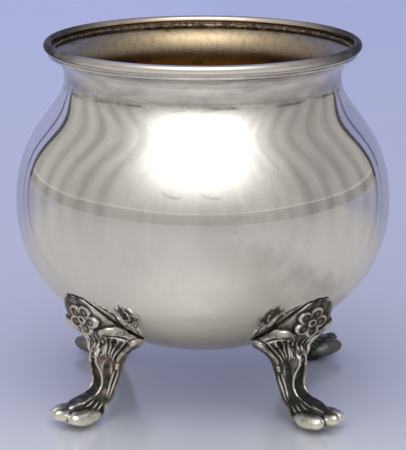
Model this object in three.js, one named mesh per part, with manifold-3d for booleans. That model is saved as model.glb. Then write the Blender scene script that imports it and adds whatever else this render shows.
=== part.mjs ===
// A waste bowl for the tea table: a spun silver-plated bowl with a waisted neck and a
// flared lip, a drawn wire bead soldered round the mouth, and four cast cabriole feet
// with a flower and leaves on the knee and a three-toed paw.
// Millimetres, +Z up. The origin is the centre of the footprint, on the table.
import * as THREE from 'three';
import { mergeVertices } from 'three/addons/utils/BufferGeometryUtils.js';
import Module from 'manifold-3d';

const wasm = await Module();
wasm.setup();

// Driving dimensions of the bowl
const overallHeight = 108;
const bodyRadius = 55.5;
const widestHeight = 60.1;
const bottomHeight = 14.8;
const neckRadius = 40.7;
const lipFlare = 4.7;
const lipRise = 6.7;
const lipEdgeThickness = 0.6;
const sheetThickness = 0.9;

// Driving dimensions of the bead round the mouth
const beadRadius = 1.38;
const beadOverhang = 1.36;
const beadFootHeight = 0.64;
const beadFootInset = 0.35;
const beadFootCove = 0.3;
const beadFootWidth = 1.25;

// Driving dimensions of a foot
const footCount = 4;
const kneeHeight = 39.7;
const rootHeight = 24.6;
const toeOverhang = 24.6;
const kneeHalfWidth = 12.5;
const shankHalfWidth = 4.3;
const kneeDepth = 6.9;
const kneeBuried = 3;
const toeWidth = 4.7;
const toeHeight = 4.8;
const toeLength = 12.6;
const toeSpacing = 3;
const toeFanAngle = 14;
const sideToeRise = 6;
const middleToeRise = 14;
const middleToeLift = 0.7;
const middleToeShare = 0.94;
const sideToeReachShare = 0.87;
const toeClearance = 1.1;
const flowerHeight = 31.7;
const petalCircleRadius = 3.3;
const petalRadius = 2.3;
const petalDome = 1;
const petalRoot = 2.6;
const pistilRadius = 1.4;
const petalCount = 5;
const flowerTilt = 14;
const rollRadius = 1.5;
const tipRollRadius = 1.1;
const rollDrop = 2.2;
const ribRadius = 0.7;
const ribRun = 4.2;
const solderGap = 0.25;

// How finely the shapes are cut
const roundSteps = 48;
const lowerCurveSteps = 9;
const shoulderSteps = 6;
const flareSteps = 4;
const legRowCount = 20;
const legFrontSteps = 6;
const legBackSteps = 2;
const cutOverrun = 5;
const beadQuarterSteps = 3;
const toeSteps = 9;
const petalSteps = 6;
const ridgeSteps = 5;
const ridgeEndShare = 0.06;
const rollSides = 5;
const ribSides = 4;
const railSteps = 200;
const fluteDepth = 0.5;
const fluteEndShares = [0.5, 0.88];
const fluteWidthShare = 0.75;
const sectionSquareShare = 0.66;
const lobeRingShare = 0.7;

// Shares that give the profile of the spun bowl its fullness
const lowerFlatShare = 0.091;
const lowerFullShare = 0.874;
const shoulderFullShare = 0.61;
const shoulderNeckShare = 0.265;
const flareNeckShare = 0.532;
const flareSpreadShare = 0.537;
const flareRiseShare = 0.15;

const silver = new THREE.MeshStandardMaterial({ color: 0xbdb9b2, metalness: 1, roughness: 0.16 });
const rimSilver = new THREE.MeshStandardMaterial({ color: 0xb3a998, metalness: 1, roughness: 0.24 });
const castSilver = new THREE.MeshStandardMaterial({ color: 0x8d8880, metalness: 1, roughness: 0.36 });

// Turns a closed geometry into a solid whose shared corners are merged
function solidOf(geometry) {
  const plain = geometry.index ? geometry.clone() : geometry;
  plain.deleteAttribute('normal');
  plain.deleteAttribute('uv');
  const merged = mergeVertices(plain);
  const mesh = new wasm.Mesh({
    numProp: 3,
    vertProperties: merged.attributes.position.array,
    triVerts: new Uint32Array(merged.index.array),
  });
  return new wasm.Manifold(mesh);
}

// Turns a solid back into a geometry
function geometryOf(solid) {
  const mesh = solid.getMesh();
  const geometry = new THREE.BufferGeometry();
  geometry.setAttribute('position', new THREE.BufferAttribute(mesh.vertProperties, 3));
  geometry.setIndex(new THREE.BufferAttribute(mesh.triVerts, 1));
  geometry.computeVertexNormals();
  return geometry;
}

// Revolves a profile about the Z axis; its points give radius and height
function revolve(profile, steps) {
  const geometry = new THREE.LatheGeometry(profile, steps);
  geometry.rotateX(Math.PI / 2);
  return geometry;
}

// The bead tops the bowl and sits on a flat on the lip, which flares up from the neck
const beadHeight = overallHeight - beadRadius;
const seatHeight = beadHeight - beadRadius - beadFootHeight;
const lipEdgeHeight = seatHeight - lipEdgeThickness;
const neckHeight = lipEdgeHeight - lipRise;
const lipRadius = neckRadius + lipFlare;

// The outer profile of the bowl, from the centre of its bottom to the edge of its lip
const bellyCurve = new THREE.CubicBezierCurve(
  new THREE.Vector2(0, bottomHeight),
  new THREE.Vector2(bodyRadius * lowerFlatShare, bottomHeight),
  new THREE.Vector2(bodyRadius, widestHeight - (widestHeight - bottomHeight) * lowerFullShare),
  new THREE.Vector2(bodyRadius, widestHeight),
);
const shoulderCurve = new THREE.CubicBezierCurve(
  new THREE.Vector2(bodyRadius, widestHeight),
  new THREE.Vector2(bodyRadius, widestHeight + (neckHeight - widestHeight) * shoulderFullShare),
  new THREE.Vector2(neckRadius, neckHeight - (neckHeight - widestHeight) * shoulderNeckShare),
  new THREE.Vector2(neckRadius, neckHeight),
);
const flareCurve = new THREE.CubicBezierCurve(
  new THREE.Vector2(neckRadius, neckHeight),
  new THREE.Vector2(neckRadius, neckHeight + (lipEdgeHeight - neckHeight) * flareNeckShare),
  new THREE.Vector2(
    lipRadius - (lipRadius - neckRadius) * flareSpreadShare,
    lipEdgeHeight - (lipEdgeHeight - neckHeight) * flareRiseShare,
  ),
  new THREE.Vector2(lipRadius, lipEdgeHeight),
);

// Points on a profile curve, moved out along the curve's own normal by an offset
function offsetPoints(curve, steps, offset) {
  return Array.from({ length: steps + 1 }, (_, i) => {
    const point = curve.getPoint(i / steps);
    const tangent = curve.getTangent(i / steps);
    return new THREE.Vector2(point.x + tangent.y * offset, point.y - tangent.x * offset);
  });
}

// The outer profile moved out by an offset, with the joints between its curves merged
function bodyProfile(offset) {
  const belly = offsetPoints(bellyCurve, lowerCurveSteps, offset);
  const shoulder = offsetPoints(shoulderCurve, shoulderSteps, offset).slice(1);
  const flare = offsetPoints(flareCurve, flareSteps, offset).slice(1);
  belly[0].x = 0;
  return [...belly, ...shoulder, ...flare];
}

// The outside radius of the bowl's belly at a height
const bellyTable = bellyCurve.getPoints(roundSteps);
function bellyRadiusAt(height) {
  const above = Math.max(1, bellyTable.findIndex((point) => point.y >= height));
  const low = bellyTable[above - 1];
  const high = bellyTable[above];
  return THREE.MathUtils.mapLinear(height, low.y, high.y, low.x, high.x);
}

// The inner profile ends where the flat on the lip cuts it
const innerProfile = bodyProfile(-sheetThickness);
const firstAbove = innerProfile.findIndex((point) => point.y >= seatHeight);
const lastBelow = innerProfile[firstAbove - 1];
const seatShare = (seatHeight - lastBelow.y) / (innerProfile[firstAbove].y - lastBelow.y);
const seatInnerRadius = THREE.MathUtils.lerp(lastBelow.x, innerProfile[firstAbove].x, seatShare);

// The spun bowl: one sheet of even thickness, open at the top
function makeBody() {
  const inside = innerProfile.slice(0, firstAbove);
  const profile = [
    ...bodyProfile(0),
    new THREE.Vector2(lipRadius, seatHeight),
    new THREE.Vector2(seatInnerRadius, seatHeight),
    ...inside.reverse(),
  ];
  return revolve(profile, roundSteps);
}

// The bead: a round wire on a narrow foot, which is soldered on the flat of the lip
function makeBead() {
  const beadCentre = new THREE.Vector2(lipRadius + beadOverhang - beadRadius, beadHeight);
  const footOuter = lipRadius - beadFootInset;
  const footInner = footOuter - beadFootWidth;
  const arcStart = Math.asin((footOuter - beadCentre.x) / beadRadius) - Math.PI / 2;
  const arcPoint = (angle) => new THREE.Vector2(
    beadCentre.x + beadRadius * Math.cos(angle),
    beadCentre.y + beadRadius * Math.sin(angle),
  );
  const arc = [];
  for (const [from, to] of [[arcStart, 0], [0, Math.PI / 2], [Math.PI / 2, Math.PI]]) {
    for (let i = 0; i < beadQuarterSteps; i += 1) {
      arc.push(arcPoint(THREE.MathUtils.lerp(from, to, i / beadQuarterSteps)));
    }
  }
  arc.push(arcPoint(Math.PI));
  const profile = [
    new THREE.Vector2(footInner, seatHeight),
    new THREE.Vector2(footOuter, seatHeight),
    new THREE.Vector2(footOuter - beadFootCove, (seatHeight + arc[0].y) / 2),
    ...arc,
    new THREE.Vector2(footInner, seatHeight),
  ];
  return revolve(profile, roundSteps);
}

// Rows of the knee, from its top edge down. Each has its height as a share of the knee's
// height, its half width as a share of the knee's, and how far its middle and its side
// edge stand off the bowl, as shares of the knee's depth.
const kneeRowShares = [
  [1, 0.17, 0.12, 0.11],
  [0.987, 0.3, 0.14, 0.12],
  [0.962, 0.43, 0.17, 0.14],
  [0.922, 0.57, 0.21, 0.16],
  [0.882, 0.67, 0.25, 0.17],
  [0.831, 0.75, 0.3, 0.19],
  [0.781, 0.81, 0.36, 0.22],
  [0.73, 0.872, 0.46, 0.28],
  [0.68, 0.944, 0.64, 0.36],
  [0.637, 0.992, 0.86, 0.48],
];

// Rows of the shank and the paw, from the knee down to the toes. Each gives the front, the
// side edge and the back as shares of the toes' overhang and of the root's height, and then
// the half width as a share of the shank's.
const shankRowShares = [
  [0.28, 0.955, 0.05, 0.967, -0.056, 0.931, 2.62],
  [0.262, 0.89, 0.07, 0.9, -0.03, 0.87, 2.05],
  [0.255, 0.825, 0.12, 0.83, -0.03, 0.805, 1.62],
  [0.255, 0.735, 0.14, 0.735, -0.01, 0.72, 1.22],
  [0.262, 0.634, 0.155, 0.63, 0.028, 0.615, 1],
  [0.28, 0.524, 0.185, 0.504, 0.075, 0.488, 0.92],
  [0.32, 0.435, 0.225, 0.398, 0.125, 0.366, 0.85],
  [0.4, 0.365, 0.305, 0.293, 0.195, 0.236, 0.84],
  [0.54, 0.327, 0.445, 0.187, 0.315, 0.09, 0.84],
  [0.68, 0.305, 0.6, 0.15, 0.5, -0.03, 0.78],
  [0.8, 0.265, 0.745, 0.165, 0.68, 0.01, 0.5],
];

// The leaf beside the flower: where its upper roll, its rolled tip and each rib start and
// end, as shares of the way around from the middle of the knee to its side edge
const upperRollShares = [0.33, 0.84];
const tipRollShares = [0.98, 0.92];
const ribShares = [
  [0.3, 0.25],
  [0.47, 0.5],
  [0.64, 0.72],
];

// The profile of a petal from its wall to its dished eye: shares of its radius and height
const petalProfileShares = [
  [1, 0.25],
  [0.68, 1],
  [0.4, 0.8],
  [0, 0.35],
];

const rootRadius = bellyRadiusAt(rootHeight);

// The three rails that carry a foot, in its own frame: X out, Y across and Z up
function makeRails() {
  const front = [];
  const edge = [];
  const back = [];
  for (const [heightShare, widthShare, middleShare, edgeShare] of kneeRowShares) {
    const height = kneeHeight * heightShare;
    const halfWidth = kneeHalfWidth * widthShare;
    const bowl = bellyRadiusAt(height);
    const edgeReach = bowl + kneeDepth * edgeShare;
    front.push(new THREE.Vector3(bowl + kneeDepth * middleShare, 0, height));
    edge.push(new THREE.Vector3(Math.sqrt(edgeReach ** 2 - halfWidth ** 2), halfWidth, height));
    back.push(new THREE.Vector3(bowl - kneeBuried, 0, height));
  }
  for (const row of shankRowShares) {
    const [frontOut, frontUp, edgeOut, edgeUp, backOut, backUp, widthShare] = row;
    const at = (out, across, up) =>
      new THREE.Vector3(rootRadius + toeOverhang * out, across, rootHeight * up);
    front.push(at(frontOut, 0, frontUp));
    edge.push(at(edgeOut, shankHalfWidth * widthShare, edgeUp));
    back.push(at(backOut, 0, backUp));
  }
  return [front, edge, back].map((points) => new THREE.CatmullRomCurve3(points));
}

const [frontRail, edgeRail, backRail] = makeRails();

// A point on the front of the leg: down it runs from 0 at the knee's top to 1 at the toes,
// and around it runs from -1 at one side edge through 0 in the middle to 1 at the other
function frontPoint(down, around) {
  const front = frontRail.getPoint(down);
  const edge = edgeRail.getPoint(down);
  const [across, depth] = squaredArc(around);
  const point = new THREE.Vector3().lerpVectors(edge, front, depth);
  const inward = new THREE.Vector3().subVectors(backRail.getPoint(down), front).normalize();
  point.addScaledVector(inward, fluteDepth * fluteAt(down, around));
  point.y = edge.y * across;
  return point;
}

// A quarter arc each side of the middle, squared up at its corners: how far across a point
// lies, and how much of the depth is left there
function squaredArc(around) {
  const angle = (around * Math.PI) / 2;
  const across = Math.sign(around) * Math.abs(Math.sin(angle)) ** sectionSquareShare;
  return [across, Math.max(0, Math.cos(angle)) ** sectionSquareShare];
}

// The shank is fluted between two raised edges; the flute fades out at both of its ends
function fluteAt(down, around) {
  const [start, end] = fluteEndShares;
  const along = Math.sin(Math.PI * THREE.MathUtils.clamp((down - start) / (end - start), 0, 1));
  const across = Math.cos(Math.PI * Math.min(1, Math.abs(around) / fluteWidthShare));
  return Math.sqrt(Math.max(0, along)) * across;
}

function backPoint(down, around) {
  const edge = edgeRail.getPoint(down);
  const [across, depth] = squaredArc(around);
  const point = new THREE.Vector3().lerpVectors(edge, backRail.getPoint(down), depth);
  point.y = edge.y * across;
  return point;
}

// Joins rings of points into one closed geometry, with a fan at each end
function loft(rings) {
  const size = rings[0].length;
  const positions = rings.flat().flatMap((point) => [point.x, point.y, point.z]);
  const indices = [];
  for (let row = 0; row < rings.length - 1; row += 1) {
    for (let i = 0; i < size; i += 1) {
      const a = row * size + i;
      const b = row * size + ((i + 1) % size);
      indices.push(a, a + size, b, b, a + size, b + size);
    }
  }
  [rings[0], rings.at(-1)].forEach((ring, end) => {
    const centre = ring.reduce((sum, point) => sum.add(point), new THREE.Vector3());
    centre.divideScalar(size);
    const hub = positions.length / 3;
    positions.push(centre.x, centre.y, centre.z);
    const first = end * (rings.length - 1) * size;
    for (let i = 0; i < size; i += 1) {
      const a = first + i;
      const b = first + ((i + 1) % size);
      indices.push(hub, ...(end ? [b, a] : [a, b]));
    }
  });
  const geometry = new THREE.BufferGeometry();
  geometry.setAttribute('position', new THREE.Float32BufferAttribute(positions, 3));
  geometry.setIndex(indices);
  return geometry;
}

// The leg: knee plate, shank and instep as one loft along the three rails
function makeLeg() {
  const rings = Array.from({ length: legRowCount + 1 }, (_, row) => {
    const down = row / legRowCount;
    const ring = [];
    for (let i = -legFrontSteps; i < legFrontSteps; i += 1) {
      ring.push(frontPoint(down, i / legFrontSteps));
    }
    for (let i = legBackSteps; i > -legBackSteps; i -= 1) {
      ring.push(backPoint(down, i / legBackSteps));
    }
    return ring;
  });
  return loft(rings);
}

// An egg-shaped lobe with its long axis along a direction
function makeLobe(centre, along, length, width, height, steps) {
  const geometry = new THREE.SphereGeometry(1, steps, Math.ceil(steps * lobeRingShare));
  geometry.scale(length / 2, width / 2, height / 2);
  const turn = new THREE.Quaternion();
  turn.setFromUnitVectors(new THREE.Vector3(1, 0, 0), along.clone().normalize());
  geometry.applyQuaternion(turn);
  geometry.translate(centre.x, centre.y, centre.z);
  return geometry;
}

// How far down the front rail a height lies
function downAtHeight(height) {
  const rows = Array.from({ length: railSteps + 1 }, (_, i) => i / railSteps);
  return rows.find((down) => frontRail.getPoint(down).z <= height);
}

// A round petal or pistil: a dome with a dished eye, on a root that sinks into the knee
function makePetal(radius) {
  const dome = petalProfileShares.map(
    ([out, up]) => new THREE.Vector2(radius * out, petalDome * up),
  );
  const root = [new THREE.Vector2(0, -petalRoot), new THREE.Vector2(radius, -petalRoot)];
  return revolve([...root, ...dome], petalSteps);
}

// The flower on the knee: five petals round a pistil, facing out and a little down
function makeFlower() {
  const centre = frontPoint(downAtHeight(flowerHeight), 0);
  const place = new THREE.Matrix4().makeRotationY(THREE.MathUtils.degToRad(90 + flowerTilt));
  place.setPosition(centre);
  const petals = Array.from({ length: petalCount }, (_, i) => {
    const angle = (i / petalCount) * 2 * Math.PI;
    const petal = makePetal(petalRadius);
    petal.translate(-petalCircleRadius * Math.cos(angle), petalCircleRadius * Math.sin(angle), 0);
    return petal;
  });
  const flower = [...petals, makePetal(pistilRadius)];
  flower.forEach((geometry) => geometry.applyMatrix4(place));
  return flower;
}

// A raised ridge of round section along some points, which tapers to both of its ends
function makeRidge(points, radius, sides) {
  const path = new THREE.CatmullRomCurve3(points);
  const { normals, binormals } = path.computeFrenetFrames(ridgeSteps);
  const rings = normals.map((normal, i) => {
    const share = THREE.MathUtils.lerp(ridgeEndShare, 1 - ridgeEndShare, i / ridgeSteps);
    const reach = radius * Math.sqrt(Math.sin(Math.PI * share));
    return Array.from({ length: sides }, (_, side) => {
      const angle = (side / sides) * 2 * Math.PI;
      const point = path.getPointAt(i / ridgeSteps);
      point.addScaledVector(normal, reach * Math.cos(angle));
      return point.addScaledVector(binormals[i], -reach * Math.sin(angle));
    });
  });
  return loft(rings);
}

// The leaves beside the flower: on each side a rolled upper edge, a rolled tip, and ribs
// that run down from under the roll to the shank
function makeLeaves() {
  const high = flowerHeight - rollDrop;
  const low = rootHeight - ribRun;
  return [-1, 1].flatMap((side) => {
    const lay = (fromHeight, toHeight, [from, to], radius, sides) => {
      const points = Array.from({ length: ridgeSteps + 1 }, (_, i) => {
        const height = THREE.MathUtils.lerp(fromHeight, toHeight, i / ridgeSteps);
        const around = THREE.MathUtils.lerp(from, to, i / ridgeSteps);
        return frontPoint(downAtHeight(height), side * around);
      });
      return makeRidge(points, radius, sides);
    };
    return [
      lay(high, high, upperRollShares, rollRadius, rollSides),
      lay(rootHeight + rollRadius, low, tipRollShares, tipRollRadius, rollSides),
      ...ribShares.map((shares) => lay(high, low, shares, ribRadius, ribSides)),
    ];
  });
}

// The paw: three egg-shaped toes, fanned out and turned up at their tips
function makeToes() {
  return [-1, 0, 1].map((side) => {
    const fan = THREE.MathUtils.degToRad(toeFanAngle) * side;
    const rise = THREE.MathUtils.degToRad(side ? sideToeRise : middleToeRise);
    const along = new THREE.Vector3(Math.cos(fan) * Math.cos(rise), Math.sin(fan), Math.sin(rise));
    const length = side ? toeLength : toeLength * middleToeShare;
    const tip = rootRadius + toeOverhang * (side ? sideToeReachShare : 1);
    const centre = new THREE.Vector3(
      tip - (length / 2) * Math.cos(fan),
      toeSpacing * side,
      toeClearance + toeHeight / 2 + (side ? 0 : middleToeLift),
    );
    return makeLobe(centre, along, length, toeWidth, toeHeight, toeSteps);
  });
}

// The solid bowl with the solder's thickness on it, which the back of a knee fits against
function makeSolderedBowl() {
  const shell = bodyProfile(solderGap);
  return revolve([...shell, new THREE.Vector2(0, shell.at(-1).y)], roundSteps);
}

// A slab under the table's top, which cuts the soles flat
function makeTable() {
  const reach = 2 * (rootRadius + toeOverhang);
  const geometry = new THREE.BoxGeometry(reach, reach, cutOverrun);
  geometry.translate(rootRadius, 0, -cutOverrun / 2);
  return geometry;
}

// A cast foot in its own frame
function makeFoot() {
  const lumps = [makeLeg(), ...makeFlower(), ...makeLeaves(), ...makeToes()].map(solidOf);
  const cast = lumps.reduce((sum, lump) => sum.add(lump));
  return geometryOf(cast.subtract(solidOf(makeSolderedBowl())).subtract(solidOf(makeTable())));
}

const part = new THREE.Group();
const body = new THREE.Mesh(makeBody(), silver);
body.name = 'bowl_body';
const bead = new THREE.Mesh(makeBead(), rimSilver);
bead.name = 'rim_wire';
part.add(body, bead);

const footGeometry = makeFoot();
['back_right', 'back_left', 'front_left', 'front_right'].forEach((place, i) => {
  const foot = new THREE.Mesh(footGeometry, castSilver);
  foot.name = `foot_${place}`;
  foot.rotation.z = ((i + 0.5) / footCount) * 2 * Math.PI;
  part.add(foot);
});

export default part;
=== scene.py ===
# A silver-plated waste bowl on four cast feet, put together as a silversmith would: the
# spun bowl first, then the bead and its solder, then the feet. Table, light and camera follow.
import math

import bpy
import numpy as np
from mathutils import Matrix, Vector


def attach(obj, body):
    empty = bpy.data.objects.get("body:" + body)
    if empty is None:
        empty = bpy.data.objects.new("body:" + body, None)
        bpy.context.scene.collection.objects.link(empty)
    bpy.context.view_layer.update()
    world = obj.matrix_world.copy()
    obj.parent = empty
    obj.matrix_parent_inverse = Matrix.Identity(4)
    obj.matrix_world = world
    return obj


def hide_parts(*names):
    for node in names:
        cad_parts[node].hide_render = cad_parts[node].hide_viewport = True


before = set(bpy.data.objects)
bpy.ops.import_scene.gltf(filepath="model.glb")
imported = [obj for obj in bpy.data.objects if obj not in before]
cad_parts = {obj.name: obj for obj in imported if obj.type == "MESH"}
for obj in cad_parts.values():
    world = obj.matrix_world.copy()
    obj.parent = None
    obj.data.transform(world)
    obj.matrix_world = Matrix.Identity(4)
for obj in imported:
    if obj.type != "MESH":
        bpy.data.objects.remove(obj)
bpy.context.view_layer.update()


# The spun bowl: one disc of copper, spun over a chuck to a round belly, a waisted neck and
# a flared lip, then silver plated and buffed outside and gilt inside. Its thin edge carries
# the bead. The profile is the CAD profile, cut fine enough for clean reflections.
MILLIMETRE = 0.001
OVERALL_HEIGHT = 108
BODY_RADIUS = 55.5
WIDEST_HEIGHT = 60.1
BOTTOM_HEIGHT = 14.8
NECK_RADIUS = 40.7
NECK_HEIGHT = 97.3
LIP_RADIUS = 45.4
LIP_EDGE_HEIGHT = 104.0
SEAT_HEIGHT = 104.6
SEAT_EASE = 0.05
SHEET_THICKNESS = 0.9
BELLY_STEPS, SHOULDER_STEPS, FLARE_STEPS = 64, 48, 24
BOWL_STEPS = 256
# How far each curve keeps its way at its two ends, as shares of its width or height
LOWER_FLAT, LOWER_FULL = 0.091, 0.874
SHOULDER_FULL, SHOULDER_NECK = 0.61, 0.265
FLARE_NECK, FLARE_SPREAD, FLARE_RISE = 0.532, 0.537, 0.15
BELLY_CURVE = (
    (0, BOTTOM_HEIGHT),
    (BODY_RADIUS * LOWER_FLAT, BOTTOM_HEIGHT),
    (BODY_RADIUS, WIDEST_HEIGHT - (WIDEST_HEIGHT - BOTTOM_HEIGHT) * LOWER_FULL),
    (BODY_RADIUS, WIDEST_HEIGHT),
)
SHOULDER_CURVE = (
    (BODY_RADIUS, WIDEST_HEIGHT),
    (BODY_RADIUS, WIDEST_HEIGHT + (NECK_HEIGHT - WIDEST_HEIGHT) * SHOULDER_FULL),
    (NECK_RADIUS, NECK_HEIGHT - (NECK_HEIGHT - WIDEST_HEIGHT) * SHOULDER_NECK),
    (NECK_RADIUS, NECK_HEIGHT),
)
FLARE_CURVE = (
    (NECK_RADIUS, NECK_HEIGHT),
    (NECK_RADIUS, NECK_HEIGHT + (LIP_EDGE_HEIGHT - NECK_HEIGHT) * FLARE_NECK),
    (
        LIP_RADIUS - (LIP_RADIUS - NECK_RADIUS) * FLARE_SPREAD,
        LIP_EDGE_HEIGHT - (LIP_EDGE_HEIGHT - NECK_HEIGHT) * FLARE_RISE,
    ),
    (LIP_RADIUS, LIP_EDGE_HEIGHT),
)


def spun_curve(corners, steps, offset):
    """Points of a profile curve, moved out along its normal by an offset."""
    corners = np.array(corners, float)
    t = np.linspace(0, 1, steps + 1)[:, None]
    weights = ((1 - t) ** 3, 3 * t * (1 - t) ** 2, 3 * t**2 * (1 - t), t**3)
    points = sum(w * c for w, c in zip(weights, corners))
    sides = np.diff(corners, axis=0)
    tangent = (1 - t) ** 2 * sides[0] + 2 * t * (1 - t) * sides[1] + t**2 * sides[2]
    tangent /= np.linalg.norm(tangent, axis=1)[:, None]
    return points + offset * np.stack((tangent[:, 1], -tangent[:, 0]), axis=1)


def spun_profile(offset):
    """The outside of the bowl from the middle of its bottom to the edge of its lip."""
    belly = spun_curve(BELLY_CURVE, BELLY_STEPS, offset)
    belly[0, 0] = 0
    shoulder = spun_curve(SHOULDER_CURVE, SHOULDER_STEPS, offset)[1:]
    flare = spun_curve(FLARE_CURVE, FLARE_STEPS, offset)[1:]
    return np.concatenate((belly, shoulder, flare))


def mesh_piece(name, points, faces):
    """A smooth mesh object at the origin from points in millimetres."""
    mesh = bpy.data.meshes.new(name)
    mesh.from_pydata((np.asarray(points) * MILLIMETRE).tolist(), [], faces)
    mesh.validate()
    mesh.shade_smooth()
    piece = bpy.data.objects.new(name, mesh)
    bpy.context.scene.collection.objects.link(piece)
    return piece


def revolved(profile, steps):
    """Points and faces of a profile turned about the Z axis; it starts and ends on it."""
    turn = np.linspace(0, 2 * math.pi, steps, endpoint=False)
    rows = profile[1:-1]
    ring = np.stack((np.cos(turn), np.sin(turn)), axis=1)
    points = np.concatenate(
        [np.column_stack((radius * ring, np.full(steps, height))) for radius, height in rows]
        + [[[0, 0, profile[0, 1]], [0, 0, profile[-1, 1]]]]
    )
    faces = []
    for row in range(len(rows) - 1):
        for i in range(steps):
            a, b = row * steps + i, row * steps + (i + 1) % steps
            faces.append((a, b, b + steps, a + steps))
    last = (len(rows) - 1) * steps
    for i in range(steps):
        j = (i + 1) % steps
        faces.append((len(points) - 2, j, i))
        faces.append((len(points) - 1, last + i, last + j))
    return points, faces


outside = spun_profile(0)
inside = spun_profile(-SHEET_THICKNESS)
inside = inside[inside[:, 1] < SEAT_HEIGHT - SEAT_EASE]
lip = [(LIP_RADIUS, SEAT_HEIGHT), (inside[-1, 0] + SEAT_EASE, SEAT_HEIGHT)]
bowl_points, bowl_faces = revolved(np.concatenate((outside, lip, inside[::-1])), BOWL_STEPS)
bowl = mesh_piece("bowl_body_spun", bowl_points, bowl_faces)
for face in bowl.data.polygons:
    face.material_index = int(min(face.vertices) // BOWL_STEPS >= len(outside))


def add_node(tree, kind, inputs=None, **settings):
    """Adds a node to a tree; an input takes a value or the socket that feeds it."""
    made = tree.nodes.new(kind)
    for name, value in settings.items():
        setattr(made, name, value)
    for name, value in (inputs or {}).items():
        if isinstance(value, bpy.types.NodeSocket):
            tree.links.new(value, made.inputs[name])
        else:
            made.inputs[name].default_value = value
    return made


def maths(tree, operation, *values):
    """The result of one Math node."""
    made = add_node(tree, "ShaderNodeMath", dict(enumerate(values)), operation=operation)
    return made.outputs[0]


def times(tree, first, second):
    """One value multiplied by another."""
    return maths(tree, "MULTIPLY", first, second)


def parts_of(tree, vector):
    """The X, Y and Z of a vector."""
    return add_node(tree, "ShaderNodeSeparateXYZ", {"Vector": vector}).outputs


def spread(tree, value, low, high, to_low=0.0, to_high=1.0, way="SMOOTHSTEP"):
    """A value carried from one range to another, eased and held at both ends."""
    inputs = {"Value": value, "From Min": low, "From Max": high}
    inputs |= {"To Min": to_low, "To Max": to_high}
    return add_node(tree, "ShaderNodeMapRange", inputs, interpolation_type=way).outputs[0]


def blend_colours(tree, share, first, second):
    """Two colours mixed by a share."""
    made = add_node(tree, "ShaderNodeMix", {0: share}, data_type="RGBA")
    for index, colour in ((6, first), (7, second)):
        if isinstance(colour, bpy.types.NodeSocket):
            tree.links.new(colour, made.inputs[index])
        else:
            made.inputs[index].default_value = (*colour, 1)
    return made.outputs[2]


def clouds(tree, place, scale, detail=4.0, roughness=0.6, stretch=None):
    """The value of a noise pattern on the piece, scaled in cells per metre."""
    if stretch:
        place = add_node(tree, "ShaderNodeMapping", {"Vector": place, "Scale": stretch}).outputs[0]
    inputs = {"Vector": place, "Scale": scale, "Detail": detail, "Roughness": roughness}
    return add_node(tree, "ShaderNodeTexNoise", inputs).outputs["Fac"]


def patches(tree, place, scale, low, high, to_low=0.0, to_high=1.0, **cloud):
    """A noise pattern eased between two of its values, so that it lies in patches."""
    return spread(tree, clouds(tree, place, scale, **cloud), low, high, to_low, to_high)


def wander(tree, cloud, reach):
    """A noise pattern that strays by half a reach to each side of nought."""
    return maths(tree, "MULTIPLY_ADD", cloud, reach, -reach / 2)


def new_finish(name, metallic=1.0):
    """A new finish: its material, tree and shader, and the piece's own coordinates."""
    material = bpy.data.materials.new(name)
    material.use_nodes = True
    tree = material.node_tree
    shader = tree.nodes["Principled BSDF"]
    shader.inputs["Metallic"].default_value = metallic
    place = tree.nodes.new("ShaderNodeTexCoord").outputs["Object"]
    return material, tree, shader, place


def feed(tree, shader, **sockets):
    """Links sockets to a shader's inputs, whose names are written with underscores."""
    for name, socket in sockets.items():
        tree.links.new(socket, shader.inputs[name.replace("_", " ")])


def lumps(tree, height, strength, distance):
    """A bump from a height pattern; the distance is in metres."""
    inputs = {"Height": height, "Strength": strength, "Distance": distance}
    return add_node(tree, "ShaderNodeBump", inputs).outputs[0]


# The plate outside: buffed bright, with tarnish in clouds, more on the right and lower down,
# grime in the neck's hollow and, below it, a dark line that is a painted reflection of the
# horizon. Places are in metres.
PLATE_COLOUR = (0.90, 0.89, 0.86)
PLATE_TARNISH = (0.54, 0.50, 0.455)
PLATE_GRIME = (0.47, 0.45, 0.43)
PLATE_PAINTED_REFLECTION = (0.20, 0.19, 0.185)
PLATE_SPECK = (0.36, 0.32, 0.28)
PLATE_GLANCING = (0.93, 0.93, 0.95, 1)
TARNISH_ACROSS = (-0.01, 0.04)
TARNISH_HEIGHTS = (0.088, 0.062)
GRIME_HEIGHTS = (0.0925, 0.0965)
PAINTED_REFLECTION_HEIGHT = 0.0950
PAINTED_REFLECTION_WANDER = 0.0016
PAINTED_REFLECTION_WIDTH = (0.0007, 0.0001)
PLATE_ROUGHNESS = (0.05, 0.13)
GRIME_ROUGHNESS = 0.12
plate, tree, shader, place = new_finish("buffed_silver_plate")
apart = parts_of(tree, place)
# Tarnish clouds are thicker on the right and lower down.
more_right_and_low = times(
    tree, spread(tree, apart["X"], *TARNISH_ACROSS, 0.17, 0.85),
    spread(tree, apart["Z"], *TARNISH_HEIGHTS, 0.3, 1.0))
bloom = times(tree, patches(tree, place, 24, 0.42, 0.64, detail=6, roughness=0.66), more_right_and_low)
film = patches(
    tree, place, 130, 0.42, 0.68, 0.0, 0.2, detail=6, roughness=0.72, stretch=(1, 1, 0.5))
grime = times(tree, spread(tree, apart["Z"], *GRIME_HEIGHTS), patches(
    tree, place, 55, 0.36, 0.64, 0.1, 1.0, detail=6, roughness=0.72, stretch=(1, 1, 4)))
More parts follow.
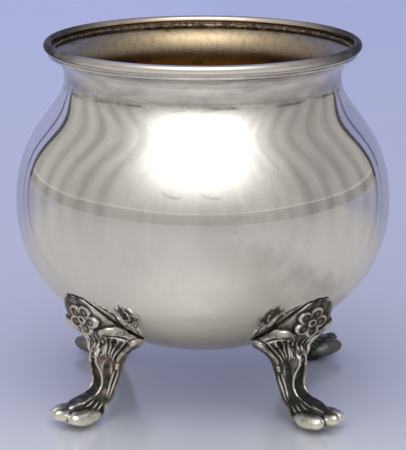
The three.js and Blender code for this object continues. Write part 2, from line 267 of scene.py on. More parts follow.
# The dark line round the neck is a painted reflection of the horizon.
painted_reflection_place = maths(
    tree, "MULTIPLY_ADD", clouds(tree, place, 40), PAINTED_REFLECTION_WANDER, -PAINTED_REFLECTION_WANDER / 2 - PAINTED_REFLECTION_HEIGHT)
off_painted_reflection = maths(tree, "ABSOLUTE", maths(tree, "ADD", apart["Z"], painted_reflection_place))
painted_horizon_reflection = times(
    tree, spread(tree, off_painted_reflection, *PAINTED_REFLECTION_WIDTH), patches(tree, place, 110, 0.4, 0.6))
pits = times(
    tree, patches(tree, place, 620, 0.74, 0.79, detail=1), patches(tree, place, 26, 0.5, 0.6))
colour = blend_colours(tree, maths(tree, "MAXIMUM", bloom, film), PLATE_COLOUR, PLATE_TARNISH)
colour = blend_colours(tree, times(tree, grime, 0.75), colour, PLATE_GRIME)
colour = blend_colours(tree, times(tree, painted_horizon_reflection, 0.75), colour, PLATE_PAINTED_REFLECTION)
colour = blend_colours(tree, times(tree, pits, 0.6), colour, PLATE_SPECK)
scratches = patches(tree, place, 900, 0.58, 0.72, 0.0, 0.16, detail=2, stretch=(1, 1, 5))
rough = spread(tree, bloom, 0.0, 1.0, *PLATE_ROUGHNESS, way="LINEAR")
rough = maths(tree, "MULTIPLY_ADD", grime, GRIME_ROUGHNESS, maths(tree, "ADD", scratches, rough))
dents = lumps(tree, clouds(tree, place, 30, detail=2), 0.12, 0.001)
feed(tree, shader, Base_Color=colour, Roughness=rough, Normal=dents)
shader.inputs["Specular Tint"].default_value = PLATE_GLANCING

# The gilt inside: brown below, paler to both sides of the mouth, where it is worn through,
# darker in a band lower down, and stained along the solder.
GILT_COLOUR = (0.52, 0.42, 0.28)
GILT_BROWN = (0.44, 0.27, 0.08)
GILT_DARK = (0.16, 0.10, 0.05)
GILT_WORN = (0.37, 0.355, 0.34)
WORN_ACROSS = (0.018, 0.038)
BROWN_HEIGHTS = (0.099, 0.092)
LOWER_BAND_HEIGHTS = (0.0905, 0.0945)
SEAM_STAIN_HEIGHTS = (0.1030, 0.1045)
GILT_WANDER = 0.006
gilt, tree, shader, place = new_finish("worn_gilt_inside")
apart = parts_of(tree, place)
height = maths(tree, "ADD", apart["Z"], wander(tree, clouds(tree, place, 60), GILT_WANDER))
brown = spread(tree, height, *BROWN_HEIGHTS)
worn = times(
    tree, spread(tree, maths(tree, "ABSOLUTE", apart["X"]), *WORN_ACROSS),
    patches(tree, place, 110, 0.35, 0.6, 0.5, 0.95, detail=6))
streaks = patches(tree, place, 650, 0.42, 0.74, 0.0, 0.3, detail=3, stretch=(1, 1, 0.3))
lower_band = times(tree, brown, spread(tree, height, *LOWER_BAND_HEIGHTS, 0.35, 1.6))
dark_blotches = times(
    tree, patches(tree, place, 170, 0.52, 0.72, detail=6, roughness=0.7),
    maths(tree, "ADD", lower_band, spread(tree, height, *SEAM_STAIN_HEIGHTS)))
colour = blend_colours(tree, worn, GILT_COLOUR, GILT_WORN)
colour = blend_colours(tree, streaks, colour, GILT_DARK)
colour = blend_colours(tree, brown, colour, GILT_BROWN)
colour = blend_colours(tree, maths(tree, "MINIMUM", dark_blotches, 1.0), colour, GILT_DARK)
rough = patches(tree, place, 90, 0.3, 0.8, 0.28, 0.42)
drawn = lumps(tree, clouds(tree, place, 500, stretch=(1, 1, 6)), 0.25, 0.0003)
feed(tree, shader, Base_Color=colour, Roughness=rough, Normal=drawn)

bowl.data.materials.append(plate)
bowl.data.materials.append(gilt)
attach(bowl, "root")
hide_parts("bowl_body")


# The bead: a drawn wire bent to a ring and soldered round the mouth. It is silver plated,
# bright in front and behind and brown toward the mouth, with a painted dark reflection at its
# left and right ends.
BEAD_RADIUS = 1.38
BEAD_RING_RADIUS = 45.38
BEAD_HEIGHT = OVERALL_HEIGHT - BEAD_RADIUS
BEAD_STEPS, BEAD_SIDES = 256, 32


def started_tree(name, **inputs):
    """A new Geometry Nodes tree and the sockets of its named inputs."""
    tree = bpy.data.node_groups.new(name, "GeometryNodeTree")
    tree.interface.new_socket("Geometry", in_out="OUTPUT", socket_type="NodeSocketGeometry")
    for label, kind in inputs.items():
        tree.interface.new_socket(
            label.replace("_", " "), in_out="INPUT", socket_type="NodeSocket" + kind)
    return tree, tree.nodes.new("NodeGroupInput").outputs


def finished_tree(tree, geometry, material):
    """Ends a Geometry Nodes tree: instances made real, and the material set."""
    real = add_node(tree, "GeometryNodeRealizeInstances", {"Geometry": geometry})
    dressed = add_node(tree, "GeometryNodeSetMaterial", {
        "Geometry": real.outputs[0], "Material": material})
    add_node(tree, "NodeGroupOutput", {"Geometry": dressed.outputs[0]})
    return tree


def bead_tree():
    """Geometry Nodes that sweep a round wire along a ring."""
    tree, given = started_tree(
        "ring_of_wire", Ring_radius="Float", Wire_radius="Float", Height="Float",
        Steps_round_the_ring="Int", Steps_round_the_wire="Int", Material="Material")
    ring = add_node(tree, "GeometryNodeCurvePrimitiveCircle", {
        "Resolution": given["Steps round the ring"], "Radius": given["Ring radius"]})
    wire = add_node(tree, "GeometryNodeCurvePrimitiveCircle", {
        "Resolution": given["Steps round the wire"], "Radius": given["Wire radius"]})
    swept = add_node(tree, "GeometryNodeCurveToMesh", {
        "Curve": ring.outputs["Curve"], "Profile Curve": wire.outputs["Curve"]})
    lift = add_node(tree, "ShaderNodeCombineXYZ", {"Z": given["Height"]})
    lifted = add_node(tree, "GeometryNodeTransform", {
        "Geometry": swept.outputs["Mesh"], "Translation": lift.outputs["Vector"]})
    smooth = add_node(tree, "GeometryNodeSetShadeSmooth", {"Geometry": lifted.outputs[0]})
    return finished_tree(tree, smooth.outputs[0], given["Material"])


def grown(name, tree, **values):
    """A plain mesh made by a Geometry Nodes tree from its named inputs."""
    seed = bpy.data.objects.new(name + "_seed", bpy.data.meshes.new(name + "_seed"))
    bpy.context.scene.collection.objects.link(seed)
    modifier = seed.modifiers.new("grow", "NODES")
    modifier.node_group = tree
    sockets = {s.name: s.identifier for s in tree.interface.items_tree if s.in_out == "INPUT"}
    for label, value in values.items():
        modifier[sockets[label.replace("_", " ")]] = value
    evaluated = seed.evaluated_get(bpy.context.evaluated_depsgraph_get())
    mesh = bpy.data.meshes.new_from_object(evaluated)
    seed.modifiers.remove(modifier)
    bpy.data.objects.remove(seed)
    mesh.name = name
    piece = bpy.data.objects.new(name, mesh)
    bpy.context.scene.collection.objects.link(piece)
    return piece


def off_axis(tree, place):
    """How far a place is from the bowl's axis."""
    flat = add_node(tree, "ShaderNodeVectorMath", {0: place, 1: (1, 1, 0)}, operation="MULTIPLY")
    reach = add_node(tree, "ShaderNodeVectorMath", {0: flat.outputs[0]}, operation="LENGTH")
    return reach.outputs["Value"]


WIRE_COLOUR = (0.88, 0.83, 0.77)
WIRE_BROWN = (0.74, 0.64, 0.52)
WIRE_PAINTED_REFLECTION = (0.09, 0.085, 0.08)
WIRE_GLANCING = (0.4, 0.38, 0.36, 1)
BROWN_RADII = (0.0459, 0.0449)
PAINTED_REFLECTION_ACROSS = (0.022, 0.044)
DARKEST_PAINTED_REFLECTION_ACROSS = (0.037, 0.0455)
wire_metal, tree, shader, place = new_finish("wire_with_painted_dark_ends")
brown = times(
    tree, spread(tree, off_axis(tree, place), *BROWN_RADII),
    patches(tree, place, 120, 0.35, 0.65, 0.55, 1.0, detail=5))
# Its left and right ends are darkened as a painted dark reflection.
across = maths(tree, "ABSOLUTE", parts_of(tree, place)["X"])
painted_dark_ends = times(
    tree, spread(tree, across, *PAINTED_REFLECTION_ACROSS), patches(tree, place, 60, 0.25, 0.5, detail=5))
painted_dark_ends = maths(tree, "MAXIMUM", painted_dark_ends, spread(tree, across, *DARKEST_PAINTED_REFLECTION_ACROSS))
colour = blend_colours(tree, brown, WIRE_COLOUR, WIRE_BROWN)
colour = blend_colours(tree, times(tree, painted_dark_ends, 0.88), colour, WIRE_PAINTED_REFLECTION)
feed(tree, shader, Base_Color=colour, Roughness=patches(tree, place, 300, 0.3, 0.7, 0.07, 0.14))
shader.inputs["Specular Tint"].default_value = WIRE_GLANCING
bead = grown(
    "rim_bead_wire", bead_tree(), Ring_radius=BEAD_RING_RADIUS * MILLIMETRE,
    Wire_radius=BEAD_RADIUS * MILLIMETRE, Height=BEAD_HEIGHT * MILLIMETRE,
    Steps_round_the_ring=BEAD_STEPS, Steps_round_the_wire=BEAD_SIDES, Material=wire_metal,
)
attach(bead, "root")
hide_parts("rim_wire")


# The solder under the bead: a rough fillet that runs round the flat of the lip and fills the
# corner between the sheet and the wire. Inside it is black, partly with tarnish and partly as
# painted shade of the groove under the bead. Outside it is wiped smooth and bright.
SEAM_RADIUS = 44.4
SEAM_HALF_WIDTH = 0.78
SEAM_OUTER_WIDTH = 1.1
SEAM_HALF_HEIGHT = 0.62
SEAM_HEIGHT = 105.05
SEAM_ROUGHNESS = 0.13
SEAM_STEPS, SEAM_SIDES = 400, 12
SEAM_SEED = 4
turn = np.linspace(0, 2 * math.pi, SEAM_STEPS, endpoint=False)[:, None]
side = np.linspace(0, 2 * math.pi, SEAM_SIDES, endpoint=False)
seam_random = np.random.default_rng(SEAM_SEED)
rough_seam = 1 + SEAM_ROUGHNESS * seam_random.standard_normal((SEAM_STEPS, SEAM_SIDES))
rough_seam[:, np.cos(side) > 0.1] = 1
seam_width = np.where(np.cos(side) > 0, SEAM_OUTER_WIDTH, SEAM_HALF_WIDTH)
seam_cove = SEAM_OUTER_WIDTH * np.clip(np.sin(side), 0, 1) * np.clip(np.cos(side), 0, 1)
seam_out = SEAM_RADIUS + seam_width * np.cos(side) * rough_seam + seam_cove
seam_up = SEAM_HEIGHT + SEAM_HALF_HEIGHT * np.sin(side) * rough_seam
seam_points = np.stack((seam_out * np.cos(turn), seam_out * np.sin(turn), seam_up), axis=2)
seam_faces = []
for i in range(SEAM_STEPS):
    here, ahead = i * SEAM_SIDES, (i + 1) % SEAM_STEPS * SEAM_SIDES
    for j in range(SEAM_SIDES):
        k = (j + 1) % SEAM_SIDES
        seam_faces.append((here + j, ahead + j, ahead + k, here + k))
seam = mesh_piece("rim_solder_seam", seam_points.reshape(-1, 3), seam_faces)

SOLDER_BLACK_AND_PAINTED_SHADE = (0.10, 0.08, 0.06)
SOLDER_GREY = (0.42, 0.37, 0.3)
SOLDER_WIPED = (0.80, 0.77, 0.74)
WIPED_RADII = (0.0443, 0.0448)
solder, tree, shader, place = new_finish("solder_black_and_painted_shade")
grain = clouds(tree, place, 900, detail=3)
wiped = spread(tree, off_axis(tree, place), *WIPED_RADII)
# The black inside is partly tarnish and partly painted shade of the groove.
colour = blend_colours(tree, spread(tree, grain, 0.4, 0.7), SOLDER_BLACK_AND_PAINTED_SHADE, SOLDER_GREY)
colour = blend_colours(tree, wiped, colour, SOLDER_WIPED)
rough = times(
    tree, spread(tree, grain, 0.3, 0.7, 0.65, 0.4), spread(tree, wiped, 0.0, 1.0, 1.0, 0.75))
grit = lumps(tree, grain, spread(tree, wiped, 0.0, 1.0, 0.5, 0.03), 0.0003)
feed(tree, shader, Base_Color=colour, Roughness=rough, Normal=grit)
seam.data.materials.append(solder)
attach(seam, "root")


# The four feet: a left and a right pattern, each sand cast twice in silver alloy, chased,
# plated and darkened in the hollows. Each has a leafy knee with a five-petalled flower, a
# fluted shank and a paw of three toes on a pad, and is soldered to the belly by its knee.
FOOT_NAMES = ("back_right", "back_left", "front_left", "front_right")
# Rows of the leg from the top of the knee to the toes, in the foot's own frame, X out:
# front x, front z, half width of the flat front, edge x, edge half width, edge z, back x, z
LEG_ROWS = np.array((
    (50.0, 39.2, 1.5, 49.9, 2.6, 39.2, 46.6, 39.2),
    (49.8, 38.7, 2.9, 49.5, 4.3, 38.6, 46.1, 38.6),
    (49.2, 37.5, 4.1, 48.7, 5.9, 37.4, 45.3, 37.4),
    (48.4, 36.0, 5.2, 47.5, 7.2, 36.0, 44.3, 36.0),
    (47.7, 34.5, 5.9, 46.2, 8.2, 34.5, 43.0, 34.5),
    (46.9, 32.7, 6.5, 44.4, 9.2, 32.7, 41.3, 32.7),
    (46.1, 30.8, 6.9, 42.3, 10.1, 30.8, 39.3, 30.8),
    (45.1, 28.9, 6.9, 40.1, 10.9, 28.9, 37.0, 28.9),
    (43.6, 27.0, 6.3, 37.7, 11.8, 27.0, 34.3, 27.0),
    (42.2, 25.3, 5.4, 35.7, 12.4, 25.2, 31.7, 25.2),
    (41.4, 23.5, 4.2, 34.9, 11.0, 23.6, 32.1, 22.9),
    (41.8, 21.9, 3.0, 35.3, 8.6, 22.1, 32.7, 21.4),
    (42.7, 20.3, 1.7, 36.3, 6.6, 20.4, 32.7, 19.8),
    (43.1, 18.1, 1.2, 36.7, 5.2, 18.1, 33.2, 17.7),
    (42.1, 15.6, 1.9, 37.0, 4.4, 15.5, 34.1, 15.1),
    (41.5, 12.9, 2.2, 37.8, 4.1, 12.4, 35.2, 12.0),
    (41.9, 10.7, 2.2, 38.9, 3.9, 9.8, 36.3, 9.0),
    (43.6, 9.0, 2.2, 40.8, 3.8, 7.2, 37.9, 5.8),
    (46.9, 8.0, 2.1, 44.4, 3.8, 4.6, 41.0, 2.2),
    (50.2, 7.5, 2.0, 48.2, 3.5, 3.7, 45.6, -0.7),
    (53.1, 6.5, 1.2, 51.8, 2.2, 4.1, 50.2, 0.3),
))
# How hollow the sides of the front are, at places down the leg, and how square the back is
HOLLOW_PLACES, FRONT_HOLLOWS = (0, 0.45, 0.6, 1), (1.15, 1.15, 1.6, 1.2)
BACK_SQUARENESS = 0.66
LEG_STEPS, LEG_SIDES = 150, 88


def through_rows(rows, share):
    """Rows eased into one another: share runs from 0 at the first to 1 at the last."""
    ends = np.vstack((2 * rows[0] - rows[1], rows, 2 * rows[-1] - rows[-2]))
    at = np.clip(share, 0, 1) * (len(rows) - 1)
    i = np.minimum(at.astype(int), len(rows) - 2)
    w = (at - i)[:, None]
    before, low, high, after = (ends[i + k] for k in range(4))
    rise, fall = (high - before) / 2, (after - low) / 2
    bend = -3 * low + 3 * high - 2 * rise - fall
    return low + rise * w + bend * w**2 + (2 * low - 2 * high + rise + fall) * w**3


def on_leg(down, around):
    """Points on the leg. Down runs from 0 at the knee's top to 1 at the toes; around is 0
    in the middle of the front, 0.5 at its corner, 1 at the side edge and 2 at the back."""
    down, around = np.broadcast_arrays(np.asarray(down, float), np.asarray(around, float))
    rows = through_rows(LEG_ROWS, down.ravel()).reshape(down.shape + (8,))
    front_x, front_z, flat, edge_x, half, edge_z, back_x, back_z = np.moveaxis(rows, -1, 0)
    reach = np.abs(around)
    hollow = np.interp(down, HOLLOW_PLACES, FRONT_HOLLOWS)
    turn = np.clip(2 * reach - 1, 0, 1) * math.pi / 2
    across, depth = np.sin(turn) ** hollow, np.cos(turn) ** hollow
    y = flat * np.minimum(2 * reach, 1) + (half - flat) * across
    x = edge_x + (front_x - edge_x) * depth
    z = edge_z + (front_z - edge_z) * depth
    turn = np.clip(2 - reach, 0, 1) * math.pi / 2
    across, depth = np.sin(turn) ** BACK_SQUARENESS, np.cos(turn) ** BACK_SQUARENESS
    behind = reach > 1
    y = np.where(behind, half * across, y)
    x = np.where(behind, edge_x + (back_x - edge_x) * depth, x)
    z = np.where(behind, edge_z + (back_z - edge_z) * depth, z)
    return np.stack((x, np.sign(around) * y, z), axis=-1)


def normals_on_leg(down, around):
    """Outward normals of the leg at places on it."""
    step = 0.004
    along = on_leg(down + step, around) - on_leg(down - step, around)
    across = on_leg(down, around + step) - on_leg(down, around - step)
    normal = np.cross(along, across)
    return normal / np.linalg.norm(normal, axis=-1, keepdims=True)


def leg_mesh():
    """The plain leg, closed at both ends."""
    around = np.linspace(-2, 2, LEG_SIDES, endpoint=False)
    rings = on_leg(np.linspace(0, 1, LEG_STEPS)[:, None], around[None, :])
    ends = [rings[0].mean(axis=0), rings[-1].mean(axis=0)]
    points = np.concatenate((rings.reshape(-1, 3), ends))
    last = (LEG_STEPS - 1) * LEG_SIDES
    faces = []
    for row in range(0, last, LEG_SIDES):
        for j in range(LEG_SIDES):
            a, b = row + j, row + (j + 1) % LEG_SIDES
            faces.append((a, a + LEG_SIDES, b + LEG_SIDES, b))
    for j in range(LEG_SIDES):
        k = (j + 1) % LEG_SIDES
        faces.append((len(points) - 2, j, k))
        faces.append((len(points) - 1, last + k, last + j))
    return points, faces


# The two outer toes with the middle one between them, and last the pad under them: length,
# width, height, reach of the tip, place across, fan and rise in degrees, lift off the table
TOES = (
    (13.2, 6.0, 4.9, 55.4, -3.5, -9, 5, 1.05),
    (12.0, 4.7, 4.6, 57.8, 0.0, 0, 12, 1.6),
    (13.2, 6.0, 4.9, 55.4, 3.5, 9, 5, 1.05),
    (12.0, 9.2, 3.3, 54.4, 0.0, 0, 3, 0.9),
)
TOE_BLUNTNESS = 0.8
TOE_TAPER, TOE_PINCH = 0.16, 0.10
TOE_STEPS, TOE_SIDES = 25, 32


def toe_mesh(length, width, height, tip, across, fan, rise, lift):
    """A smooth egg-shaped toe, blunter in front than behind."""
    angle = np.linspace(0, math.pi, TOE_STEPS)
    profile = np.stack((np.sin(angle) ** TOE_BLUNTNESS, -np.cos(angle)), axis=1)
    points, faces = revolved(profile, TOE_SIDES)
    points[:, :2] *= 1 + TOE_TAPER * points[:, 2:] - TOE_PINCH * points[:, 2:] ** 2
    points = points[:, [2, 1, 0]] * (length / 2, width / 2, height / 2)
    fan, rise = math.radians(fan), math.radians(rise)
    points = points @ np.array((
        (math.cos(rise), 0, math.sin(rise)), (0, 1, 0), (-math.sin(rise), 0, math.cos(rise))))
    points = points @ np.array((
        (math.cos(fan), math.sin(fan), 0), (-math.sin(fan), math.cos(fan), 0), (0, 0, 1)))
    points += (tip - length / 2 * math.cos(fan), across, lift + height / 2)
    return points, [tuple(reversed(face)) for face in faces]


# The flower: five dished petals round a pistil, grown flat and then laid over the knee.
# Both profiles run from a root in the knee over the rim to the middle, for a radius of 1.
PETAL_PROFILE = np.array((
    (0, -2.4), (0.97, -2.4), (1.0, 0.2), (0.96, 0.7), (0.86, 0.98), (0.74, 0.96), (0.66, 0.88),
    (0.58, 0.79), (0.46, 0.74), (0.34, 0.77), (0.2, 0.84), (0, 0.86),
))
PISTIL_PROFILE = np.array((
    (0, -2.2), (0.97, -2.2), (1.0, 0.5), (0.92, 0.95), (0.74, 1.1), (0.56, 0.95), (0.4, 0.5),
    (0.26, 0.4), (0.14, 0.55), (0, 0.6),
))
FLOWER_DOWN = 0.247
FLOWER_TURN = -6
FLOWER_TILT = 0.19
FLOWER_ASIDE = 1.6
FLOWER_RISE = 0.45
PETALS = 5
PETAL_CIRCLE = 2.95
PETAL_REACH, PETAL_HEIGHT = 1.9, 1.05
PETAL_STRETCH = 1.3
PISTIL_REACH, PISTIL_HEIGHT = 1.35, 1.3
PETAL_SIDES, PISTIL_SIDES = 28, 24
DISH_SHIFT, DISH_SLOPE = 0.3, 1.6
SPINE_STEPS = 400


def flower_tree():
    """Geometry Nodes that set petals on a circle."""
    tree, given = started_tree(
        "petals_on_a_circle", Petal="Object", Petals="Int", Circle_radius="Float",
        Material="Material")
    circle = add_node(tree, "GeometryNodeMeshCircle", {
        "Vertices": given["Petals"], "Radius": given["Circle radius"]})
    petal = add_node(tree, "GeometryNodeObjectInfo", {"Object": given["Petal"]})
    outward = add_node(tree, "FunctionNodeAlignRotationToVector", {
        "Vector": tree.nodes.new("GeometryNodeInputPosition").outputs[0]}, axis="X")
    placed = add_node(tree, "GeometryNodeInstanceOnPoints", {
        "Points": circle.outputs["Mesh"], "Instance": petal.outputs["Geometry"],
        "Rotation": outward.outputs["Rotation"]})
    return finished_tree(tree, placed.outputs[0], given["Material"])


def raw_mesh(piece):
    """The points, in millimetres, and the faces of a piece that is then removed."""
    points = np.zeros(len(piece.data.vertices) * 3)
    piece.data.vertices.foreach_get("co", points)
    faces = [tuple(face.vertices) for face in piece.data.polygons]
    bpy.data.objects.remove(piece)
    return points.reshape(-1, 3) / MILLIMETRE, faces


def laid_over_knee(points):
    """Flat points, whose X is across, Y is up and Z is out, laid over the knee."""
    steps = np.linspace(0, 1, SPINE_STEPS)
    spine = on_leg(steps, np.zeros(SPINE_STEPS))
    length = np.concatenate(([0], np.cumsum(np.linalg.norm(np.diff(spine, axis=0), axis=1))))
    middle = np.interp(FLOWER_DOWN, steps, length)
    down = np.interp(middle - points[:, 1], length, steps)
    rows = through_rows(LEG_ROWS, down)
    flat, half = rows[:, 2], rows[:, 4]
    reach = np.abs(points[:, 0])
    beyond = np.clip((reach - flat) / (half - flat), 0, 1)
    around = np.where(reach < flat, reach / flat / 2, 0.5 + np.arcsin(beyond) / math.pi)
    around *= np.sign(points[:, 0])
    return on_leg(down, around) + points[:, 2:] * normals_on_leg(down, around)


def flower_mesh(hand):
    """The flower, a little to one side of the knee's middle; hand is 1 or -1."""
    petal_profile = PETAL_PROFILE * (PETAL_REACH, PETAL_HEIGHT)
    petal_points, petal_faces = revolved(petal_profile, PETAL_SIDES)
    out = np.hypot(petal_points[:, 0], petal_points[:, 1]) / PETAL_REACH
    petal_points[:, 0] -= DISH_SHIFT * np.clip(DISH_SLOPE - DISH_SLOPE * out, 0, 1)
    petal = mesh_piece("petal", petal_points, petal_faces)
    ring = grown(
        "petals", flower_tree(), Petal=petal, Petals=PETALS,
        Circle_radius=PETAL_CIRCLE * MILLIMETRE, Material=None,
    )
    bpy.data.objects.remove(petal)
    points, faces = raw_mesh(ring)
    turn = math.radians(FLOWER_TURN)
    points[:, :2] = points[:, :2] @ np.array((
        (math.cos(turn), math.sin(turn)), (-math.sin(turn), math.cos(turn))))
    pistil_profile = PISTIL_PROFILE * (PISTIL_REACH, PISTIL_HEIGHT)
    pistil, pistil_faces = revolved(pistil_profile, PISTIL_SIDES)
    faces += [tuple(i + len(points) for i in face) for face in pistil_faces]
    points = np.concatenate((points, pistil))
    points[:, 0] *= PETAL_STRETCH
    points[:, 2] += FLOWER_RISE - FLOWER_TILT * points[:, 1]
    points[:, 0] += hand * FLOWER_ASIDE
    return laid_over_knee(points), faces


# The chasing on each side of a foot. Each stroke has its places (down, around), its radius
# and its height in millimetres; a minus is cut in. Strokes of one kind don't add up. A
# stroke's ends are thinner and lower, unless it has only two places.
BROAD_STROKES = (
    (((0.41, 0.44), (0.358, 0.5), (0.335, 0.64), (0.335, 0.8), (0.35, 0.92)), 1.5, 1.05),
    (((0.41, 0.66), (0.46, 0.60), (0.53, 0.66), (0.61, 0.77)), 1.7, -0.6),
    (((0.545, 0.0), (0.585, 0.0)), 1.9, 0.6),
    (((0.605, 0.0), (0.67, 0.0), (0.74, 0.0), (0.80, 0.0), (0.855, 0.0)), 1.8, -0.6),
    (((0.635, 0.76), (0.70, 0.72), (0.78, 0.69), (0.85, 0.72)), 1.25, -0.5),
    (((0.43, 1.03), (0.448, 0.9), (0.495, 0.83), (0.58, 0.87), (0.65, 0.9)), 1.0, 0.6),
)
FINE_STROKES = (
    (((0.61, 0.68), (0.54, 0.52), (0.485, 0.36), (0.43, 0.3), (0.375, 0.4)), 0.5, 0.5),
    (((0.392, 0.5), (0.385, 0.66), (0.395, 0.8), (0.415, 0.88)), 0.45, -0.7),
    (((0.39, 0.55), (0.47, 0.47), (0.543, 0.58), (0.615, 0.71)), 0.42, 0.5),
    (((0.392, 0.66), (0.462, 0.57), (0.542, 0.64), (0.615, 0.745)), 0.42, 0.5),
    (((0.4, 0.74), (0.477, 0.66), (0.553, 0.7), (0.625, 0.78)), 0.42, 0.5),
    (((0.407, 0.82), (0.485, 0.73), (0.582, 0.78), (0.64, 0.81)), 0.34, 0.42),
    (((0.41, 0.98), (0.425, 0.86), (0.475, 0.77), (0.56, 0.81), (0.635, 0.85)), 0.32, -0.4),
    (((0.672, 0.91), (0.69, 0.91)), 0.75, 0.4),
    (((0.70, 0.87), (0.74, 0.83), (0.78, 0.81), (0.82, 0.85), (0.848, 0.9)), 0.34, 0.3),
    (((0.70, 1.0), (0.74, 0.98), (0.78, 0.95), (0.82, 0.98), (0.848, 1.0)), 0.34, 0.32),
    (((0.71, 0.93), (0.74, 0.905), (0.78, 0.88), (0.82, 0.915)), 0.3, -0.35),
    (((0.58, 0.1), (0.605, 0.36), (0.65, 0.5), (0.71, 0.5), (0.78, 0.5), (0.83, 0.5),
      (0.87, 0.5)), 0.42, 0.42),
    (((0.40, 0.14), (0.48, 0.12), (0.55, 0.08)), 0.36, 0.2),
    (((0.40, 0.0), (0.5, 0.0), (0.575, 0.0)), 0.3, -0.3),
    (((0.395, 0.29), (0.475, 0.24), (0.545, 0.2)), 0.6, -0.35),
    (((0.385, 0.48), (0.45, 0.4), (0.51, 0.38), (0.57, 0.5), (0.63, 0.65)), 0.36, -0.5),
    (((0.88, 0.56), (0.91, 0.6), (0.94, 0.64)), 0.28, 0.3),
    (((0.88, 0.68), (0.91, 0.73), (0.94, 0.76)), 0.28, 0.3),
    (((0.875, 0.8), (0.905, 0.85), (0.935, 0.87)), 0.28, 0.3),
    (((0.87, 0.92), (0.90, 0.97), (0.925, 0.99)), 0.28, 0.3),
)
STROKE_STEPS = 12
STROKE_END = 0.25
STROKE_END_WIDTH, STROKE_END_HEIGHT = 0.45, 0.3


def stroke_heights(points, strokes):
    """How far each point is raised, and how far cut, by strokes on both sides of the foot."""
    raised, cut = np.zeros(len(points)), np.zeros(len(points))
    for places, radius, height in strokes:
        share = np.linspace(0, 1, STROKE_STEPS * len(places))
        full = np.clip(np.minimum(share, 1 - share) / STROKE_END, 0, 1)
        if len(places) == 2:
            full[:] = 1
        width = radius * (STROKE_END_WIDTH + (1 - STROKE_END_WIDTH) * np.sqrt(full))
        depth = STROKE_END_HEIGHT + (1 - STROKE_END_HEIGHT) * full
        down, around = through_rows(np.array(places), share).T
        for side in (1, -1):
            stroke = on_leg(down, side * around)
            low, high = stroke.min(axis=0) - radius, stroke.max(axis=0) + radius
            near = np.flatnonzero(np.all((points > low) & (points < high), axis=1))
            if not len(near):
                continue
            gap = np.linalg.norm(points[near, None] - stroke[None], axis=2) / width
            round_top = np.sqrt(np.clip(1 - gap.min(axis=1) ** 2, 0, 1))
            round_top *= depth[gap.argmin(axis=1)]
            if height > 0:
                raised[near] = np.maximum(raised[near], height * round_top)
            else:
                cut[near] = np.minimum(cut[near], height * round_top**2)
    return raised + cut


def smoothed(values, links, rounds):
    """Values of a mesh's points, averaged with those of the points that links join."""
    first, second = links
    count = np.bincount(first, minlength=len(values)).astype(float)[:, None]
    for _ in range(rounds):
        total = np.stack([
            np.bincount(first, weights=values[second, k], minlength=len(values))
            for k in range(values.shape[1])], axis=1)
        values = 0.5 * values + 0.5 * total / np.maximum(count, 1)
    return values


def rows_of(mesh, attribute="co"):
    """The points or the normals of a mesh as rows."""
    rows = np.zeros(len(mesh.vertices) * 3)
    mesh.vertices.foreach_get(attribute, rows)
    return rows.reshape(-1, 3)


def move_points(mesh, place):
    """Puts the points of a mesh at new places."""
    mesh.vertices.foreach_set("co", place.ravel())
    mesh.update()


# The casting: its fineness, the sand's unevenness in waves, how deep the solder holds the
# knee in the belly, and how many rows of the bowl's profile the feet can meet
CAST_VOXEL = 0.2
SAND_SEED = 7
SAND_WAVES, SAND_HEIGHT = 16, 0.022
SAND_SHORTEST, SAND_LONGEST = 2.5, 6.0
SOLDER_DEPTH = 0.35
BELLY_ROWS = 90
# How dirty a foot is, evenly and by its small and large hollows, and what is added or taken
# away at the solder and in zones of the foot; places are in millimetres
EVEN_DIRT, SMALL_HOLLOW_DIRT, LARGE_HOLLOW_DIRT = 0.56, 4.4, 1.5
SMALL_HOLLOW_ROUNDS, LARGE_HOLLOW_ROUNDS = 6, 40
SOLDER_GAP, SOLDER_DIRT = (0.6, 0.2), 0.5
PAW_REACH, PAW_TOP, PAW_RUB = (44, 47), (6.4, 4.8), 0.06
INSTEP_REACH, INSTEP_TOP, INSTEP_DIRT = (40.5, 42.5), (11, 9), 0.18
SHANK_TOP, SHANK_DIRT = (27, 21), 0.07
KNEE_BOTTOM, KNEE_DIRT = (24, 26), 0.05
FLOWER_HEIGHT, OFF_FLOWER = 33.1, (4.8, 5.8)
PLATE_BOTTOM, PLATE_DIRT = (27, 28.5), 0.1


def joined_pattern(hand):
    """Leg, flower, toes and pad run into one skin, in millimetres."""
    points, faces = [], []
    for part_points, part_faces in [leg_mesh(), flower_mesh(hand), *(toe_mesh(*t) for t in TOES)]:
        offset = sum(map(len, points))
        points.append(part_points)
        faces += [tuple(i + offset for i in face) for face in part_faces]
    pattern = mesh_piece("pattern", np.concatenate(points) / MILLIMETRE, faces)
    remesh = pattern.modifiers.new("cast", "REMESH")
    remesh.mode, remesh.voxel_size = "VOXEL", CAST_VOXEL
    mesh = bpy.data.meshes.new_from_object(
        pattern.evaluated_get(bpy.context.evaluated_depsgraph_get()))
    bpy.data.objects.remove(pattern)
    return mesh


def sand_heights(place):
    """The slight unevenness that the sand mould leaves."""
    sand = np.random.default_rng(SAND_SEED)
    rise = np.zeros(len(place))
    for _ in range(SAND_WAVES):
        way = sand.normal(size=3)
        way *= 2 * math.pi / sand.uniform(SAND_SHORTEST, SAND_LONGEST) / np.linalg.norm(way)
        rise += SAND_HEIGHT * np.sin(place @ way + sand.uniform(0, 6.3))
    return rise


def fitted(place):
    """Points moved out of the belly, but for the solder's depth, and up to the table."""
    shell = spun_profile(-SOLDER_DEPTH)[:BELLY_ROWS]
    radius = np.hypot(place[:, 0], place[:, 1])
    least = np.interp(place[:, 2], shell[:, 1], shell[:, 0], left=0)
    place[:, :2] *= np.maximum(least / np.maximum(radius, 0.001), 1)[:, None]
    place[:, 2] = np.maximum(place[:, 2], 0)
    return place


def between(value, low, high):
    """0 at the low value, 1 at the high one and held beyond both."""
    return np.clip((value - low) / (high - low), 0, 1)


